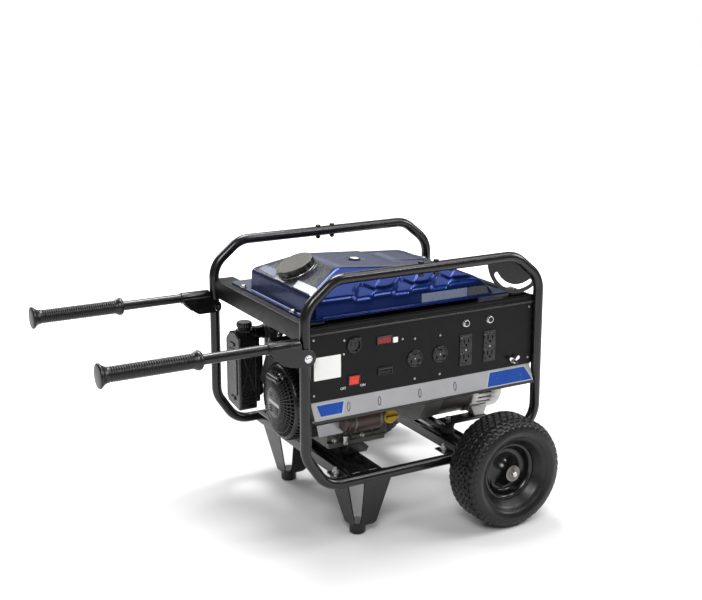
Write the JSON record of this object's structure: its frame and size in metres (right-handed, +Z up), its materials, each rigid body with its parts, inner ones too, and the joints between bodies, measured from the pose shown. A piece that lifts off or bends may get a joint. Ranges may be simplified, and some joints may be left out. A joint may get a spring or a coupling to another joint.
{
  "type": "portable generator",
  "caption": "Open-frame portable petrol generator: bent-tube hoops round an engine and alternator, fuel tank on top, outlet panel, rear wheels, rubber feet and fold-down handles.",
  "frame": {"origin": "bottom centre of the whole object, on the ground", "axes": "+Z up; +X along the machine from the handles to the wheels; the control panel faces -Y"},
  "size_m": [1.1338, 0.776, 0.6645],
  "materials": {
    "frame_paint": "satin black powder coat",
    "tank_paint": "deep blue gloss enamel",
    "panel_paint": "matt black powder coat",
    "apron_paint": "silver grey satin paint",
    "zinc": "bright zinc plate",
    "chrome": "polished",
    "soft_rubber": "black, matt",
    "tyre": "black tread rubber",
    "grip_rubber": "ribbed black rubber",
    "cap_plastic": "warm grey",
    "black_plastic": "fine moulded texture",
    "outlet_plastic": "black, semi-gloss",
    "red_plastic": "red, gloss",
    "yellow_plastic": "yellow, gloss",
    "cast_aluminium": "as cast",
    "bare_iron": "laminated and machined iron",
    "muffler_steel": "heat-resistant coat"
  },
  "bodies": {
    "frame": {"front_hoop": "frame_paint", "back_hoop": "frame_paint", "top_beams": "frame_paint", "base_beams": "frame_paint", "corner_gusset": "frame_paint", "legs": "frame_paint", "axle_brackets": "frame_paint", "leg_pads": "soft_rubber", "isolators": "soft_rubber", "fuel_hose": "soft_rubber", "plug_lead": "soft_rubber", "axle": "zinc", "wheel_retainers": "zinc", "filler_neck": "zinc", "fuel_tap": "zinc", "frame_bolts": "zinc", "tank_top": "tank_paint", "tank_bottom": "tank_paint", "fuel_gauge": "black_plastic", "panel_box": "panel_paint", "panel_apron": "apron_paint", "round_outlets": "outlet_plastic", "duplex_outlets": "outlet_plastic", "hour_meter": "outlet_plastic", "panel_fittings": "outlet_plastic", "crankcase": "cast_aluminium", "cylinder": "cast_aluminium", "cylinder_head": "cast_aluminium", "alternator_adaptor": "cast_aluminium", "end_bell": "cast_aluminium", "carburettor": "cast_aluminium", "blower_housing": "black_plastic", "recoil_cover": "black_plastic", "air_cleaner_cover": "black_plastic", "air_cleaner_base": "black_plastic", "stator": "bare_iron", "starter_motor": "frame_paint", "muffler": "muffler_steel", "muffler_guard": "muffler_steel"},
    "handle_front": {"handle_front": "frame_paint", "grip_front": "grip_rubber"},
    "handle_back": {"handle_back": "frame_paint", "grip_back": "grip_rubber"},
    "wheel_front": {"rim_front": "frame_paint", "tyre_front": "tyre"},
    "wheel_back": {"rim_back": "frame_paint", "tyre_back": "tyre"},
    "crank": {"crankshaft": "bare_iron", "flywheel": "bare_iron", "rotor": "bare_iron"},
    "fuel_cap": {"fuel_cap": "cap_plastic"},
    "oil_cap": {"oil_cap": "yellow_plastic"},
    "engine_switch": {"engine_switch": "red_plastic"},
    "selector_switch": {"selector_switch": "outlet_plastic"},
    "reset_button_left": {"reset_button_left": "chrome"},
    "reset_button_right": {"reset_button_right": "chrome"},
    "choke_lever": {"choke_lever": "zinc"},
    "fuel_lever": {"fuel_lever": "zinc"},
    "wing_nut": {"wing_nut": "zinc"},
    "pull_grip": {"pull_grip": "black_plastic"}
  },
  "joints": [
    {"name": "wheel_front_spin", "type": "hinge", "parent": "frame", "child": "wheel_front", "pos_m": [0.40565, -0.336, 0.1358], "axis": [0, 1, 0], "continuous": true},
    {"name": "wheel_back_spin", "type": "hinge", "parent": "frame", "child": "wheel_back", "pos_m": [0.40565, 0.336, 0.1358], "axis": [0, 1, 0], "continuous": true},
    {"name": "handle_front_fold", "type": "hinge", "parent": "frame", "child": "handle_front", "pos_m": [-0.09385, -0.254, 0.473], "axis": [0, -1, 0], "range_deg": [0, 85]},
    {"name": "handle_back_fold", "type": "hinge", "parent": "frame", "child": "handle_back", "pos_m": [-0.09385, 0.254, 0.473], "axis": [0, -1, 0], "range_deg": [0, 85]},
    {"name": "crank_spin", "type": "hinge", "parent": "frame", "child": "crank", "pos_m": [0.20615, -0.05, 0.301], "axis": [1, 0, 0], "continuous": true},
    {"name": "fuel_cap_turn", "type": "hinge", "parent": "frame", "child": "fuel_cap", "pos_m": [-0.01385, -0.062, 0.62473], "axis": [-0.4138, 0, 0.9104], "range_deg": [0, 90]},
    {"name": "oil_cap_turn", "type": "hinge", "parent": "frame", "child": "oil_cap", "pos_m": [0.18515, -0.158, 0.256], "axis": [0, -1, 0], "continuous": true},
    {"name": "engine_switch_rock", "type": "hinge", "parent": "frame", "child": "engine_switch", "pos_m": [0.03315, -0.249, 0.398], "axis": [1, 0, 0], "range_deg": [0, 20]},
    {"name": "selector_switch_rock", "type": "hinge", "parent": "frame", "child": "selector_switch", "pos_m": [0.11615, -0.249, 0.408], "axis": [1, 0, 0], "range_deg": [0, 20]},
    {"name": "reset_left_press", "type": "slide", "parent": "frame", "child": "reset_button_left", "axis": [0, 1, 0], "range_m": [0, 0.003], "stiffness_N_per_m": 300, "springref_m": -0.003},
    {"name": "reset_right_press", "type": "slide", "parent": "frame", "child": "reset_button_right", "axis": [0, 1, 0], "range_m": [0, 0.003], "stiffness_N_per_m": 300, "springref_m": -0.003},
    {"name": "choke_turn", "type": "hinge", "parent": "frame", "child": "choke_lever", "pos_m": [0.01215, 0.158, 0.437], "axis": [0, 0, 1], "range_deg": [0, 40]},
    {"name": "fuel_lever_turn", "type": "hinge", "parent": "frame", "child": "fuel_lever", "pos_m": [0.05615, 0.07, 0.484], "axis": [0, 1, 0], "range_deg": [0, 90]},
    {"name": "wing_nut_turn", "type": "hinge", "parent": "frame", "child": "wing_nut", "pos_m": [0.48315, -0.26, 0.376], "axis": [0, -1, 0], "continuous": true},
    {"name": "pull_start", "type": "slide", "parent": "frame", "child": "pull_grip", "axis": [-1, 0, 0], "range_m": [0, 0.65], "stiffness_N_per_m": 25, "springref_m": -0.4}
  ]
}
